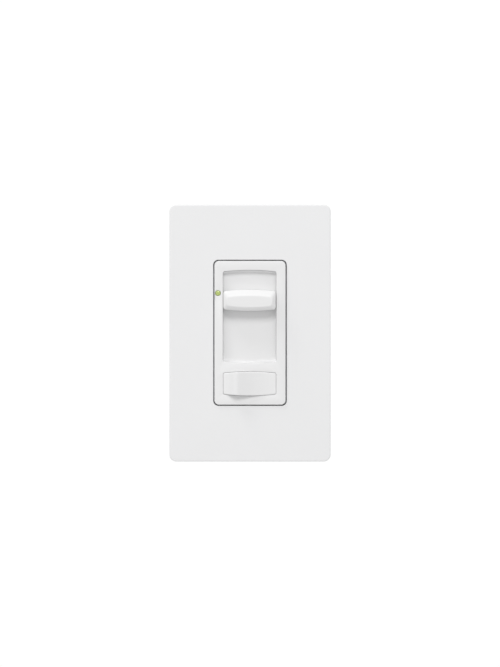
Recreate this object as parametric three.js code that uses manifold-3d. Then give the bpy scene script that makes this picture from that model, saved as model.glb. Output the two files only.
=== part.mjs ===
// Slide dimmer with a left-right rocker switch, behind a screwless one-gang wall plate.
// Millimetres. +Z is up and +X is to the right of a person facing the wall. The front faces -Y.
// The origin is on the wall plane y = 0, midway between the two box screws.

import * as THREE from "three";
import { ConvexGeometry } from "three/addons/geometries/ConvexGeometry.js";
import { mergeVertices } from "three/addons/utils/BufferGeometryUtils.js";
import Module from "manifold-3d";

const wasm = await Module();
wasm.setup();

// ---- Driving dimensions ----

const GAP = 0.3; // between neighbours that touch on the real object

const PLATE = { width: 74.7, height: 119.1, face: -7.6, wall: 2, corner: 3.2, edge: 1 };
const OPENING = { width: 34, height: 67.7, corner: 2.4 };
const BEZEL = { width: 33, height: 66.7, corner: 2.1, face: -8.4, back: -1.9 };
const ADAPTER = { width: 70, height: 114.4, corner: 1.2, front: -3.5, back: -1.9, opening_margin: 0.5 };
const CLIPS = { heights: [-36, 0, 36], thick: 1.2, half_height: 4, tail: 0.4 };
const LEGS = { x: 15.6, heights: [8, -25], half_thick: 0.6, half_height: 2, end: 2.2 };
const STRAP = { width: 46, height: 106, front: -1.6, corner: 4 };
const STRAP_WINDOW = { slide: 14.2, rocker: 13 };
const EAR_SLIT = { x: 11, half_width: 0.6, from: 43 };
const BOX_SCREWS = { spacing: 83.3, radius: 1.7, head: 3.5, head_depth: 2.2, tip: 26 };
const BOX_SCREW_SLOT = { strap: 6.8, adapter: 11, adapter_radius: 4.1 };
const PLATE_SCREWS = { spacing: 96.8, radius: 1.7, head: 3, head_depth: 1.3, tip: 5 };
const DRIVER_SLOT = 0.5; // half the width of a driver slot
const WASHER = { radius: 4.2, thickness: 0.9 };

// Upper and lower edges of the recess, the knob, the paddle and its hole all bow outwards alike.
// The edges of the knob's face bow a little more.
const BOW_RADIUS = 105;
const KNOB_FACE_BOW_RADIUS = 75;

// Recess that the slider runs in.
const RECESS = { half_width: 12.55, top: 29.55, bottom: -14, floor: -5.4 };
const TRACK_PANEL = { thickness: 1.3, ramp: 1, land: 0.2, lip: -8.05 };
const KNOB = { z: 15.15, half_width: 11.85, height: 9.8, front: -13.4 };
const KNOB_CHAMFER = { upper: 2.6, lower: 1.6, side: 1.3, slope: 1.5 };
const TRAVEL = { up: 7.5, down: 22.2 };
const ARM = { inner: 12.75, outer: 13.35, half_height: 3, front: -6.5, tab_back: -5.7 };
const CARRIAGE = { front: -2.3, back: -1.1, half_height: 3.3 };
const FORK = { half_width: 2, back: 1.5, gap: 2.3 };

// Rocker paddle: rocks about a vertical pin behind the middle of its face.
// Its two ends are round about the pin, so that they clear the hole alike at every tilt.
// Its face has a ridge left of the middle, round on its left and hollow on its right.
const PADDLE = { z: -23.4, half_width: 12.25, height: 10.7, tilt: 6.4, back: 1.1 };
const RIDGE = { x: -6.9, rise: 3.5, left: 3, right: 17.8, power: 2, crest: 1.2 };
const PADDLE_HOLE = { margin: 0.3, half_width: 12.55 };
const ROCKER_PIN = { y: -6.4, radius: 0.6, half_length: 7 };
const POST = { half_width: 2.6, half_height: 3, end: 8, bore: 1.3, bore_start: 1.4 };
const PLUNGER = { radius: 1, start: 5, tip: 12.3 };
const SPRING = { turns: 5, steps_per_turn: 10, radius: 0.8, wire: 0.13, clearance: 0.45 };

// Contact see-saw behind the plunger.
const SEESAW = { y: 7.15, half_length: 7, half_height: 2.5, thick: 0.8, lift: 0.15, tilt: 8 };
const FIXED_CONTACT = { x: 6, front: 8.15, radius: 1.5, dome: 0.25 };
const FULCRUM = { tip: 0.4, radius: 1.3, taper: 1.05, clearance: 0.15 };
const SWITCH_TRAY = { half_width: 14, low: -33, high: -14.2, wall: 1.2 };

const LIGHT_PIPE = { x: -14.85, z: 18.5, radius: 1.2, stem: 0.7, shoulder: -7.7, end: 6.7 };

const HOUSING = { half_width: 22.2, half_height: 35, front: GAP, back: 29.8, wall: 1.8, corner: 1.5 };
const LABEL_PANEL = { half_width: 13, half_height: 24, depth: 0.5, corner: 1 };
const RIM_STEP = { depth: 0.6, back: 3.2 };
const HOUSING_SCREWS = { x: 18.6, z: 31.5, radius: 1.3, head: 2.5, head_depth: 1.6, column: 2.1 };
const BOARD = { front: 10, thickness: 1.6, half_width: 19.8, half_height: 32.6, notch: 2.5 };
const TERMINAL = { y: 21, depth: 4, floor: 2, half_height: 5, front: 14, screw: 1.8, head: 3.6 };
const TERMINAL_SEAT_FRONT = 12;
const TERMINAL_PLATE = { thickness: 1, half_height: 4.2, back: 28 };
const TERMINAL_SCREW = { head_depth: 2, tip: 5.5, slot_depth: 0.9 };
const TERMINALS = [
  { name: "1", side: 1, z: 14 },
  { name: "2", side: 1, z: -14 },
  { name: "3", side: -1, z: -14 },
];
const GROUND_SCREW = { x: -17, z: -39.4, radius: 1.8, head: 3.6, head_depth: 2.2 };
const POT = { half_width: 4.5, bottom: -13, top: 29, front: 3.4, wall: 1, slot: 1.1, slot_margin: 2.6 };
const WIPER = { lever: 0.7, lever_half_height: 2, shoe: 3, shoe_half_height: 2.4, shoe_front: 1.6 };
const TRIAC = { x: 9.9, screw_z: 30, tab_top: 33, body_top: 26.8, body_bottom: 17.8, half_width: 5 };
const TRIAC_DEPTH = { front: 0.9, tab_back: 2.2, body_back: 5.4, hole: 1.8 };
const TRIAC_LEAD = { pitch: 2.54, half_width: 0.4, front: 3.2, thick: 0.6, drop: 3 };
const TRIAC_SCREW = { radius: 1.5, head: 2.8, seat: 2.5, back: 4.6 };
const INSULATOR = { front: GAP, back: 0.6 };
const LED = { crown: 1, radius: 1.5, shoulder: 1.1 };

// Components on the back of the circuit board.
const BOARD_BACK = BOARD.front + BOARD.thickness + GAP;
const CHOKE = { z: 8, y_front: BOARD_BACK, height: 13, flange: 9.5, core: 4.5, rim: 1.5, winding: 8.7 };
const SUPPRESSION_CAPACITOR = { x0: -6.5, x1: 6.5, z0: 21, z1: 28, height: 12 };
const TIMING_CAPACITOR = { x0: 2.5, x1: 9.5, z0: -21, z1: -17, height: 8 };
const RESISTOR = { x: -8, z: -16, radius: 1.4, half_length: 4, wire: 0.35, wire_reach: 6.5 };
const DIAC = { x: -2.5, z: -17, radius: 1, half_length: 2, wire: 0.3, wire_reach: 4.5 };

// ---- Materials ----

function material(color, roughness, metalness = 0) {
  return new THREE.MeshStandardMaterial({ color, roughness, metalness });
}

const gloss_white = () => material(0xeff0f1, 0.32);
const satin_white = () => material(0xecedee, 0.42);
const black_plastic = () => material(0x1b1c1e, 0.55);
const aluminium = () => material(0xb9bcc0, 0.38, 0.9);
const zinc_steel = () => material(0xa9abab, 0.35, 0.95);
const brass = () => material(0xc39a4d, 0.32, 0.95);

// ---- Solid helpers ----

// Closed geometry to a manifold solid.
function solid(geometry) {
  const bare = geometry.index ? geometry.toNonIndexed() : geometry.clone();
  bare.deleteAttribute("normal");
  bare.deleteAttribute("uv");
  const merged = mergeVertices(bare, 1e-4);
  const vertProperties = new Float32Array(merged.attributes.position.array);
  const triVerts = new Uint32Array(merged.index.array);
  return new wasm.Manifold(new wasm.Mesh({ numProp: 3, vertProperties, triVerts }));
}

// Manifold solid back to a geometry.
function geometry_of(body) {
  const mesh = body.getMesh();
  const geometry = new THREE.BufferGeometry();
  geometry.setAttribute("position", new THREE.BufferAttribute(new Float32Array(mesh.vertProperties), 3));
  geometry.setIndex(new THREE.BufferAttribute(new Uint32Array(mesh.triVerts), 1));
  geometry.computeVertexNormals();
  return geometry;
}

function join(first, ...others) {
  return geometry_of(others.reduce((body, other) => body.add(solid(other)), solid(first)));
}

function cut(first, ...tools) {
  return geometry_of(tools.reduce((body, tool) => body.subtract(solid(tool)), solid(first)));
}

function common(first, other) {
  return geometry_of(solid(first).intersect(solid(other)));
}

// Box between two corners.
function block(x0, x1, y0, y1, z0, z1) {
  const box = new THREE.BoxGeometry(x1 - x0, y1 - y0, z1 - z0);
  return box.translate((x0 + x1) / 2, (y0 + y1) / 2, (z0 + z1) / 2);
}

// Cylinder along Y between two depths.
function rod_y(radius, y0, y1, x, z, sides = 24) {
  return new THREE.CylinderGeometry(radius, radius, y1 - y0, sides).translate(x, (y0 + y1) / 2, z);
}

// Cylinder along X between two sides.
function rod_x(radius, x0, x1, y, z, sides = 24) {
  const rod = new THREE.CylinderGeometry(radius, radius, x1 - x0, sides).rotateZ(Math.PI / 2);
  return rod.translate((x0 + x1) / 2, y, z);
}

// Cylinder along Z between two heights.
function rod_z(radius, z0, z1, x, y, sides = 24) {
  const rod = new THREE.CylinderGeometry(radius, radius, z1 - z0, sides).rotateX(Math.PI / 2);
  return rod.translate(x, y, (z0 + z1) / 2);
}

// The same outline as straight edges, with no two corners in one place.
function corners_of(shape, segments) {
  const points = shape.getPoints(segments);
  const apart = (point, i) => point.distanceTo(points[(i + 1) % points.length]) > 1e-3;
  return new THREE.Shape(points.filter(apart));
}

// Outline drawn in X and Z, made solid between two depths along Y.
function slab(outline, y_front, y_back, segments = 8) {
  const options = { depth: y_back - y_front, bevelEnabled: false };
  const geometry = new THREE.ExtrudeGeometry(corners_of(outline, segments), options);
  return geometry.rotateX(Math.PI / 2).translate(0, y_back, 0);
}

// The same with its front rim rounded to a radius.
function pillow_slab(outline, y_front, y_back, radius, steps, segments) {
  const depth = y_back - y_front + radius;
  const options = {
    depth,
    bevelThickness: radius,
    bevelSize: radius,
    bevelOffset: -radius,
    bevelSegments: steps,
  };
  const geometry = new THREE.ExtrudeGeometry(corners_of(outline, segments), options);
  geometry.rotateX(Math.PI / 2).translate(0, y_front + radius + depth, 0);
  return common(geometry, block(-100, 100, y_front - 1, y_back, -100, 100));
}

// Turned solid about an axis along Y, from a profile of [radius, y] points.
function turned(profile, x, z, segments = 24) {
  const points = profile.map(([radius, y]) => new THREE.Vector2(radius, y));
  return new THREE.LatheGeometry(points, segments).translate(x, 0, z);
}

function rounded_rectangle(width, height, radius, z = 0) {
  const x = width / 2;
  const y = height / 2;
  const shape = new THREE.Shape();
  shape.moveTo(-x + radius, z - y);
  shape.lineTo(x - radius, z - y);
  shape.absarc(x - radius, z - y + radius, radius, -Math.PI / 2, 0, false);
  shape.lineTo(x, z + y - radius);
  shape.absarc(x - radius, z + y - radius, radius, 0, Math.PI / 2, false);
  shape.lineTo(-x + radius, z + y);
  shape.absarc(-x + radius, z + y - radius, radius, Math.PI / 2, Math.PI, false);
  shape.lineTo(-x, z - y + radius);
  shape.absarc(-x + radius, z - y + radius, radius, Math.PI, 1.5 * Math.PI, false);
  return shape;
}

// Rectangle whose top and bottom edges bow outwards.
function bowed_rectangle(half_width, bottom, top, radius = BOW_RADIUS) {
  const spread = Math.asin(half_width / radius);
  const bow = radius * (1 - Math.cos(spread));
  const up = Math.PI / 2;
  const shape = new THREE.Shape();
  shape.moveTo(-half_width, bottom + bow);
  shape.absarc(0, bottom + radius, radius, -up - spread, -up + spread, false);
  shape.lineTo(half_width, top - bow);
  shape.absarc(0, top - radius, radius, up - spread, up + spread, false);
  shape.closePath();
  return shape;
}

// Corners of an outline, set at one depth.
function at_depth(outline, y) {
  return corners_of(outline, 8).getPoints().map((point) => new THREE.Vector3(point.x, y, point.y));
}

// Slot with round ends, long along X.
function slot(x, z, length, radius, y0, y1) {
  const shape = rounded_rectangle(length, 2 * radius, radius * 0.999, z);
  return slab(shape, y0, y1, 6).translate(x, 0, 0);
}

// ---- Wall plate ----

function wallplate_cover() {
  const { width, height, face, wall, corner, edge } = PLATE;
  const shell = pillow_slab(rounded_rectangle(width, height, corner), face, 0, edge, 3, 5);
  const inner = rounded_rectangle(width - 2 * wall, height - 2 * wall, corner - wall);
  const hollow = slab(inner, face + wall, 1, 3);
  const window = slab(rounded_rectangle(OPENING.width, OPENING.height, OPENING.corner), face - 1, 1, 5);
  return cut(shell, hollow, window);
}

function wallplate_adapter() {
  const { width, height, corner, front, back, opening_margin } = ADAPTER;
  const panel = slab(rounded_rectangle(width, height, corner), front, back, 3);
  const window = slab(
    rounded_rectangle(OPENING.width + opening_margin, OPENING.height + opening_margin, OPENING.corner),
    front - 1,
    back + 1,
    4
  );
  const clips = [];
  const clip_front = PLATE.face + PLATE.wall + GAP;
  const half_thick = CLIPS.thick / 2;
  for (const side of [-1, 1]) {
    for (const z of CLIPS.heights) {
      const x = side * (width / 2 - half_thick);
      const [low, high] = [z - CLIPS.half_height, z + CLIPS.half_height];
      clips.push(block(x - half_thick, x + half_thick, clip_front, back - CLIPS.tail, low, high));
    }
  }
  const holes = [];
  for (const end of [-1, 1]) {
    const z_plate = (end * PLATE_SCREWS.spacing) / 2;
    const z_box = (end * BOX_SCREWS.spacing) / 2;
    holes.push(rod_y(PLATE_SCREWS.radius + GAP, front - 1, back + 1, 0, z_plate));
    holes.push(slot(0, z_box, BOX_SCREW_SLOT.adapter, BOX_SCREW_SLOT.adapter_radius, front - 1, back + 1));
  }
  return cut(join(panel, ...clips), window, ...holes);
}

// Round-headed screw along Y with a straight driver slot. Its head lies in front of the seat.
function slotted_screw(x, z, seat, { radius, head, head_depth, tip }) {
  const top = seat - head_depth;
  const crown = head_depth * 0.45;
  const profile = [
    [0, top],
    [head * 0.72, top + crown * 0.25],
    [head, top + crown],
    [head, seat],
    [radius, seat],
    [radius, tip - 0.6],
    [radius - 0.5, tip],
    [0, tip],
  ];
  const slot_floor = top + head_depth / 2;
  const driver = block(x - head - 1, x + head + 1, top - 1, slot_floor, z - DRIVER_SLOT, z + DRIVER_SLOT);
  return cut(turned(profile, x, z, 20), driver);
}

// ---- Front insert ----

function recess_outline(inset) {
  const { half_width, bottom, top } = RECESS;
  return bowed_rectangle(half_width - inset, bottom + inset, top - inset);
}

function bezel() {
  const { width, height, corner, face, back } = BEZEL;
  const body = slab(rounded_rectangle(width, height, corner), face, back, 5);
  const legs = [];
  const { half_thick, half_height, end } = LEGS;
  for (const side of [-1, 1]) {
    for (const z of LEGS.heights) {
      const x = side * LEGS.x;
      legs.push(block(x - half_thick, x + half_thick, back - 1, end, z - half_height, z + half_height));
    }
  }
  const recess = slab(recess_outline(0), face - 1, back + 1, 12);
  const half_hole = PADDLE.height / 2 + PADDLE_HOLE.margin;
  const hole_outline = bowed_rectangle(PADDLE_HOLE.half_width, PADDLE.z - half_hole, PADDLE.z + half_hole);
  const paddle_hole = slab(hole_outline, face - 1, back + 1, 12);
  const reach = ROCKER_PIN.half_length + GAP;
  const pin_hole = rod_z(ROCKER_PIN.radius + GAP, PADDLE.z - reach, PADDLE.z + reach, 0, ROCKER_PIN.y, 12);
  const grooves = [-1, 1].map((side) => {
    const inner = side * (RECESS.half_width - 0.1);
    const outer = side * (ARM.outer + GAP);
    const low = KNOB.z - TRAVEL.down - CARRIAGE.half_height - GAP;
    const high = KNOB.z + TRAVEL.up + CARRIAGE.half_height + GAP;
    return block(Math.min(inner, outer), Math.max(inner, outer), ARM.front - GAP, back + 1, low, high);
  });
  const { x, z, radius, stem, shoulder } = LIGHT_PIPE;
  const pipe_mouth = rod_y(radius + 0.15, face - 1, shoulder + GAP, x, z, 20);
  const pipe_bore = rod_y(stem + GAP, face, back + 1, x, z, 16);
  return cut(join(body, ...legs), recess, paddle_hole, pin_hole, ...grooves, pipe_mouth, pipe_bore);
}

// Floor of the recess, with a sloping end wall at the top and at the bottom.
function track_panel() {
  const { thickness, ramp, land, lip } = TRACK_PANEL;
  const { floor, half_width, bottom, top } = RECESS;
  const body = slab(recess_outline(GAP), lip, floor + thickness, 12);
  const room = (inset, y) => at_depth(bowed_rectangle(half_width + 1, bottom + inset, top - inset), y);
  const [mouth, toe] = [GAP + land, GAP + land + ramp];
  return cut(body, new ConvexGeometry([...room(mouth, lip - 1), ...room(mouth, lip), ...room(toe, floor)]));
}

function light_pipe() {
  const { x, z, radius, stem, shoulder, end } = LIGHT_PIPE;
  const profile = [
    [0, BEZEL.face - 0.15],
    [radius * 0.7, BEZEL.face - 0.05],
    [radius, BEZEL.face + 0.2],
    [radius, shoulder],
    [stem, shoulder],
    [stem, end],
    [0, end],
  ];
  return turned(profile, x, z, 16);
}

// ---- Slider ----

function slider_knob() {
  const { z, half_width, height, front } = KNOB;
  const { upper, lower, side: edge, slope } = KNOB_CHAMFER;
  const back = RECESS.floor - GAP;
  const low_edge = z - height / 2;
  const high_edge = z + height / 2;
  const rim = bowed_rectangle(half_width, low_edge, high_edge);
  const [face_low, face_high] = [low_edge + lower, high_edge - upper];
  const face = bowed_rectangle(half_width - edge, face_low, face_high, KNOB_FACE_BOW_RADIUS);
  const corners = [...at_depth(rim, back), ...at_depth(rim, front + slope), ...at_depth(face, front)];
  const head = new ConvexGeometry(corners);
  const arms = [];
  for (const side of [-1, 1]) {
    const tab = [side * (half_width - 1), side * ARM.outer].sort((a, b) => a - b);
    const arm = [side * ARM.inner, side * ARM.outer].sort((a, b) => a - b);
    const low = z - ARM.half_height;
    const high = z + ARM.half_height;
    arms.push(block(tab[0], tab[1], ARM.front, ARM.tab_back, low, high));
    arms.push(block(arm[0], arm[1], ARM.front, CARRIAGE.front - GAP, low, high));
  }
  return join(head, ...arms);
}

function slide_carriage() {
  const { front, back, half_height } = CARRIAGE;
  const { half_width, back: fork_back, gap } = FORK;
  const { z } = KNOB;
  const plate = block(-ARM.outer, ARM.outer, front, back, z - half_height, z + half_height);
  const upper = block(-half_width, half_width, back - 0.2, fork_back, z + gap, z + half_height);
  const lower = block(-half_width, half_width, back - 0.2, fork_back, z - half_height, z - gap);
  return join(plate, upper, lower);
}

function slide_pot_body() {
  const { half_width, bottom, top, front, wall, slot: half_slot, slot_margin } = POT;
  const back = BOARD.front - GAP;
  const can = block(-half_width, half_width, front, back, bottom, top);
  const inside = half_width - wall;
  const room = block(-inside, inside, front + wall, back - wall, bottom + wall, top - wall);
  const low = KNOB.z - TRAVEL.down - slot_margin;
  const high = KNOB.z + TRAVEL.up + slot_margin;
  return cut(can, room, block(-half_slot, half_slot, front - 1, front + wall + 1, low, high));
}

function slide_pot_wiper() {
  const { z } = KNOB;
  const { lever, lever_half_height, shoe, shoe_half_height } = WIPER;
  const shoe_front = POT.front + WIPER.shoe_front;
  const shoe_back = BOARD.front - GAP - POT.wall - GAP;
  return join(
    block(-lever, lever, CARRIAGE.back + GAP, shoe_front + 1, z - lever_half_height, z + lever_half_height),
    block(-shoe, shoe, shoe_front, shoe_back, z - shoe_half_height, z + shoe_half_height)
  );
}

// ---- Rocker, drawn about its own pin and turned to its resting side ----

// Height of the resting paddle's face in front of the bezel.
function ridge_height(x) {
  const { x: top, rise, left, right, power, crest } = RIDGE;
  if (x < top) {
    return rise * Math.exp(-(((x - top) / left) ** 2));
  }
  const run = Math.hypot(x - top, crest) - crest;
  return rise * Math.max(1 - run / right, 0) ** power;
}

function rocker_paddle() {
  const { half_width, height, tilt, back } = PADDLE;
  const level = BEZEL.face - ROCKER_PIN.y;
  const lean = Math.tan(THREE.MathUtils.degToRad(tilt));
  const reach = half_width + 1;
  const columns = 40;
  const section = [new THREE.Vector2(reach, back), new THREE.Vector2(-reach, back)];
  for (let i = 0; i <= columns; i += 1) {
    const x = reach * ((2 * i) / columns - 1);
    section.push(new THREE.Vector2(x, level - ridge_height(x) - lean * x));
  }
  const length = height + 2;
  const bar = new THREE.ExtrudeGeometry(new THREE.Shape(section), { depth: length, bevelEnabled: false });
  bar.translate(0, 0, -length / 2);
  const ends = rod_z(half_width, -length, length, 0, 0, 96);
  const outline = slab(bowed_rectangle(reach, -height / 2, height / 2), level - RIDGE.rise - 1, back, 12);
  const cap = common(common(bar, ends), outline);
  const { half_width: half_post, half_height, end, bore, bore_start } = POST;
  const post = block(-half_post, half_post, back - 0.5, end, -half_height, half_height);
  const pin_hole = rod_z(ROCKER_PIN.radius + GAP, -height, height, 0, 0, 12);
  return cut(join(cap, post), rod_y(bore, bore_start, end + 1, 0, 0, 20), pin_hole);
}

function rocker_plunger() {
  const { radius, start, tip } = PLUNGER;
  const profile = [
    [0, start],
    [radius, start],
    [radius, tip - 0.9],
    [radius * 0.8, tip - 0.35],
    [radius * 0.35, tip],
    [0, tip],
  ];
  return turned(profile, 0, 0, 16);
}

// Round-wire coil spring along Y.
function plunger_spring() {
  const { turns, steps_per_turn, radius, wire, clearance } = SPRING;
  const start = POST.bore_start + clearance;
  const end = PLUNGER.start - clearance;
  const steps = turns * steps_per_turn;
  const points = [];
  for (let i = 0; i <= steps; i += 1) {
    const angle = (i / steps_per_turn) * 2 * Math.PI;
    const y = start + ((end - start) * i) / steps;
    points.push(new THREE.Vector3(radius * Math.cos(angle), y, radius * Math.sin(angle)));
  }
  const section = new THREE.Shape().absarc(0, 0, wire, 0, 2 * Math.PI, false);
  const path = new THREE.CatmullRomCurve3(points);
  return new THREE.ExtrudeGeometry(section, { steps, extrudePath: path, curveSegments: 3 });
}

function contact_seesaw() {
  const { half_length, half_height, thick, lift } = SEESAW;
  return block(-half_length, half_length, -lift - thick, -lift, -half_height, half_height);
}

function fixed_contact(x) {
  const { front, radius, dome } = FIXED_CONTACT;
  const profile = [
    [0, front],
    [radius * 0.8, front],
    [radius, front + dome],
    [radius, BOARD.front - GAP],
    [0, BOARD.front - GAP],
  ];
  return turned(profile, x, PADDLE.z, 16);
}

function fulcrum_contact() {
  const { tip, radius, taper, clearance } = FULCRUM;
  const front = SEESAW.y + clearance;
  const profile = [
    [0, front],
    [tip, front],
    [radius, front + taper],
    [radius, BOARD.front - GAP],
    [0, BOARD.front - GAP],
  ];
  return turned(profile, 0, PADDLE.z, 16);
}

function switch_frame() {
  const { half_width, low, high, wall } = SWITCH_TRAY;
  const back = BOARD.front - GAP;
  const inside = half_width - wall;
  const tray = block(-half_width, half_width, GAP, back, low, high);
  const room = block(-inside, inside, GAP - 1, back - wall, low + wall, high - wall);
  const seats = [-FIXED_CONTACT.x, 0, FIXED_CONTACT.x].map((x) =>
    rod_y(FIXED_CONTACT.radius + GAP, back - wall - 1, back + 1, x, PADDLE.z, 16)
  );
  return cut(tray, room, ...seats);
}

// ---- Mounting strap and box screws ----

function mounting_strap() {
  const { width, height, front, corner } = STRAP;
  const sheet = slab(rounded_rectangle(width, height, corner), front, 0, 4);
  const y0 = front - 1;
  const y1 = 1;
  const slide_low = KNOB.z - TRAVEL.down - CARRIAGE.half_height - GAP;
  const slide_high = KNOB.z + TRAVEL.up + CARRIAGE.half_height + GAP;
  const tools = [
    block(-STRAP_WINDOW.slide, STRAP_WINDOW.slide, y0, y1, slide_low, slide_high),
    block(-STRAP_WINDOW.rocker, STRAP_WINDOW.rocker, y0, y1, PADDLE.z - 6, PADDLE.z + 6),
    rod_y(LIGHT_PIPE.stem + GAP, y0, y1, LIGHT_PIPE.x, LIGHT_PIPE.z, 16),
    rod_y(TRIAC_SCREW.radius + GAP, y0, y1, TRIAC.x, TRIAC.screw_z, 16),
    rod_y(GROUND_SCREW.radius + GAP, y0, y1, GROUND_SCREW.x, GROUND_SCREW.z, 16),
  ];
  for (const end of [-1, 1]) {
    const z_box = (end * BOX_SCREWS.spacing) / 2;
    tools.push(slot(0, z_box, BOX_SCREW_SLOT.strap, BOX_SCREWS.radius + GAP, y0, y1));
    tools.push(rod_y(PLATE_SCREWS.radius + GAP, y0, y1, 0, (end * PLATE_SCREWS.spacing) / 2, 20));
    const [low, high] = [end * EAR_SLIT.from, end * height].sort((a, b) => a - b);
    for (const side of [-1, 1]) {
      const x = side * HOUSING_SCREWS.x;
      const ear = side * EAR_SLIT.x;
      tools.push(rod_y(HOUSING_SCREWS.radius + GAP, y0, y1, x, end * HOUSING_SCREWS.z, 16));
      tools.push(block(ear - EAR_SLIT.half_width, ear + EAR_SLIT.half_width, y0, y1, low, high));
    }
  }
  const half_slot = LEGS.half_thick + GAP;
  const half_height = LEGS.half_height + GAP;
  for (const side of [-1, 1]) {
    for (const z of LEGS.heights) {
      const x = side * LEGS.x;
      tools.push(block(x - half_slot, x + half_slot, y0, y1, z - half_height, z + half_height));
    }
  }
  return cut(sheet, ...tools);
}

// Flat ring along Y.
function ring(inner, outer, y0, y1, z, segments) {
  const profile = [
    [inner, y0],
    [outer, y0],
    [outer, y1],
    [inner, y1],
    [inner, y0],
  ];
  return turned(profile, 0, z, segments);
}

// Fibre washer that keeps a box screw from falling out.
function screw_washer(z) {
  return ring(BOX_SCREWS.radius + GAP, WASHER.radius, GAP, GAP + WASHER.thickness, z, 20);
}

// Earth screw, head towards the back, six-sided.
function ground_screw() {
  const { x, z, radius, head, head_depth } = GROUND_SCREW;
  const shank = rod_y(radius, STRAP.front + 0.1, GAP + 0.5, x, z, 16);
  return join(rod_y(head, GAP, GAP + head_depth, x, z, 6), shank);
}

// ---- Rear housing ----

function rear_housing() {
  const { half_width, half_height, front, back, wall, corner } = HOUSING;
  const step = RIM_STEP.depth;
  const body_outline = rounded_rectangle(2 * (half_width - step), 2 * (half_height - step), corner);
  const rim = slab(rounded_rectangle(2 * half_width, 2 * half_height, corner), front, RIM_STEP.back, 3);
  const outer = join(slab(body_outline, front, back, 3), rim);
  const hollow = block(
    -half_width + wall,
    half_width - wall,
    front - 1,
    back - wall,
    -half_height + wall,
    half_height - wall
  );
  const { column } = HOUSING_SCREWS;
  const panel = LABEL_PANEL;
  const panel_outline = rounded_rectangle(2 * panel.half_width, 2 * panel.half_height, panel.corner);
  const label = slab(panel_outline, back - panel.depth, back + 1, 3);
  let body = solid(outer).subtract(solid(hollow)).subtract(solid(label));
  for (const sx of [-1, 1]) {
    for (const sz of [-1, 1]) {
      const x = sx * HOUSING_SCREWS.x;
      const z = sz * HOUSING_SCREWS.z;
      body = body.add(solid(block(x - column, x + column, front, back - 0.5, z - column, z + column)));
      body = body.subtract(solid(rod_y(HOUSING_SCREWS.radius + GAP, front - 1, back + 1, x, z, 16)));
    }
  }
  const floor = half_width - TERMINAL.depth;
  for (const { side, z } of TERMINALS) {
    const swell = [side * (floor - TERMINAL.floor), side * (half_width - 1)].sort((a, b) => a - b);
    const pocket = [side * floor, side * (half_width + 1)].sort((a, b) => a - b);
    const drill = [side * (floor - TERMINAL.floor - 1), side * (floor + 1)].sort((a, b) => a - b);
    const tall = TERMINAL.half_height;
    const seat_height = tall + wall;
    const seat = block(...swell, TERMINAL_SEAT_FRONT, back - 0.5, z - seat_height, z + seat_height);
    body = body.add(solid(seat));
    body = body.subtract(solid(block(pocket[0], pocket[1], TERMINAL.front, back + 1, z - tall, z + tall)));
    body = body.subtract(solid(rod_x(TERMINAL.screw + GAP, drill[0], drill[1], TERMINAL.y, z, 16)));
  }
  return geometry_of(body);
}

// Pan-headed screw driven from the back of the housing into the strap.
function housing_screw(x, z) {
  const seat = HOUSING.back + GAP;
  const { radius, head, head_depth } = HOUSING_SCREWS;
  const profile = [
    [0, STRAP.front + 0.2],
    [radius, STRAP.front + 0.2],
    [radius, seat],
    [head, seat],
    [head, seat + head_depth * 0.6],
    [head * 0.7, seat + head_depth],
    [0, seat + head_depth],
  ];
  const [low, high] = [z - DRIVER_SLOT, z + DRIVER_SLOT];
  const driver = block(x - head - 1, x + head + 1, seat + head_depth / 2, seat + head_depth + 1, low, high);
  return cut(turned(profile, x, z, 16), driver);
}

function terminal_plate(side, z) {
  const { thickness, half_height, back } = TERMINAL_PLATE;
  const inner = side * (HOUSING.half_width - TERMINAL.depth + GAP);
  const [x0, x1] = [inner, inner + side * thickness].sort((a, b) => a - b);
  const plate = block(x0, x1, TERMINAL.front + 1, back, z - half_height, z + half_height);
  return cut(plate, rod_x(TERMINAL.screw + GAP, x0 - 1, x1 + 1, TERMINAL.y, z, 16));
}

function terminal_screw(side, z) {
  const { head_depth, tip, slot_depth } = TERMINAL_SCREW;
  const seat = HOUSING.half_width - TERMINAL.depth + 2 * GAP + TERMINAL_PLATE.thickness;
  const crown = seat + head_depth;
  const shank = [side * (seat - tip), side * (seat + 0.5)].sort((a, b) => a - b);
  const head = [side * seat, side * crown].sort((a, b) => a - b);
  const slot_x = [side * (crown - slot_depth), side * (crown + 1)].sort((a, b) => a - b);
  const body = join(
    rod_x(TERMINAL.screw, shank[0], shank[1], TERMINAL.y, z, 16),
    rod_x(TERMINAL.head, head[0], head[1], TERMINAL.y, z, 20)
  );
  const [low, high] = [z - DRIVER_SLOT, z + DRIVER_SLOT];
  return cut(body, block(slot_x[0], slot_x[1], TERMINAL.y - 5, TERMINAL.y + 5, low, high));
}

// ---- Electronics ----

function circuit_board() {
  const { front, thickness, half_width, half_height, notch } = BOARD;
  const back = front + thickness;
  const sheet = block(-half_width, half_width, front, back, -half_height, half_height);
  const notches = [];
  for (const sx of [-1, 1]) {
    for (const sz of [-1, 1]) {
      const x = sx * HOUSING_SCREWS.x;
      const z = sz * HOUSING_SCREWS.z;
      notches.push(block(x - notch, x + notch, front - 1, back + 1, z - notch, z + notch));
    }
  }
  return cut(sheet, ...notches);
}

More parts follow.
